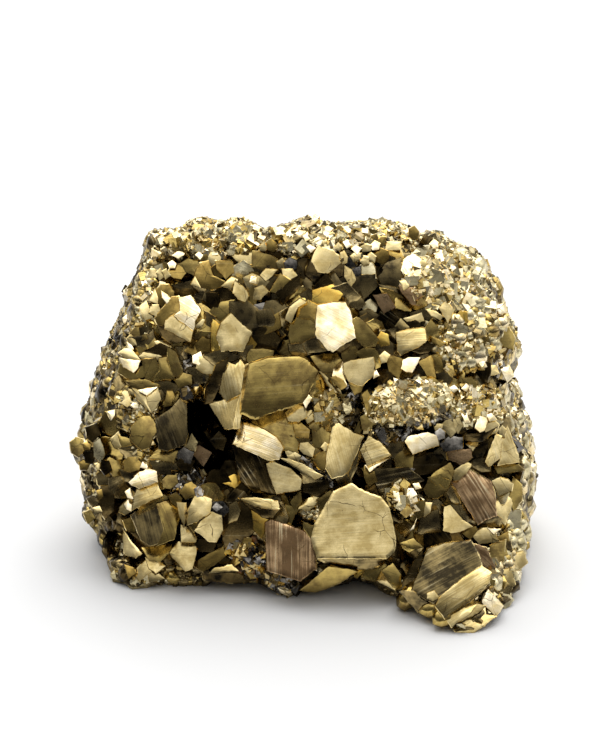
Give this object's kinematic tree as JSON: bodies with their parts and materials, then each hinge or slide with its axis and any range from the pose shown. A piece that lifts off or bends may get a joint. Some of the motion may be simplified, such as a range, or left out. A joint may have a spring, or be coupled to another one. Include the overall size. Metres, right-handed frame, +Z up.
{
  "type": "pyrite specimen",
  "caption": "Hand-size specimen of intergrown brassy pyrite crystals, broken open at the front and cut flat where it rests.",
  "frame": {"origin": "middle of the bounding box, at the flat foot", "axes": "+X to the right along the specimen's length, the broken front faces -Y, +Z up"},
  "size_m": [0.0688, 0.0534, 0.0441],
  "materials": {
    "pyrite": "pale brass-yellow metallic crystal faces, partly bright, partly dulled and tarnished brown"
  },
  "bodies": {
    "root": {"pyrite_cluster": "pyrite"}
  },
  "joints": []
}
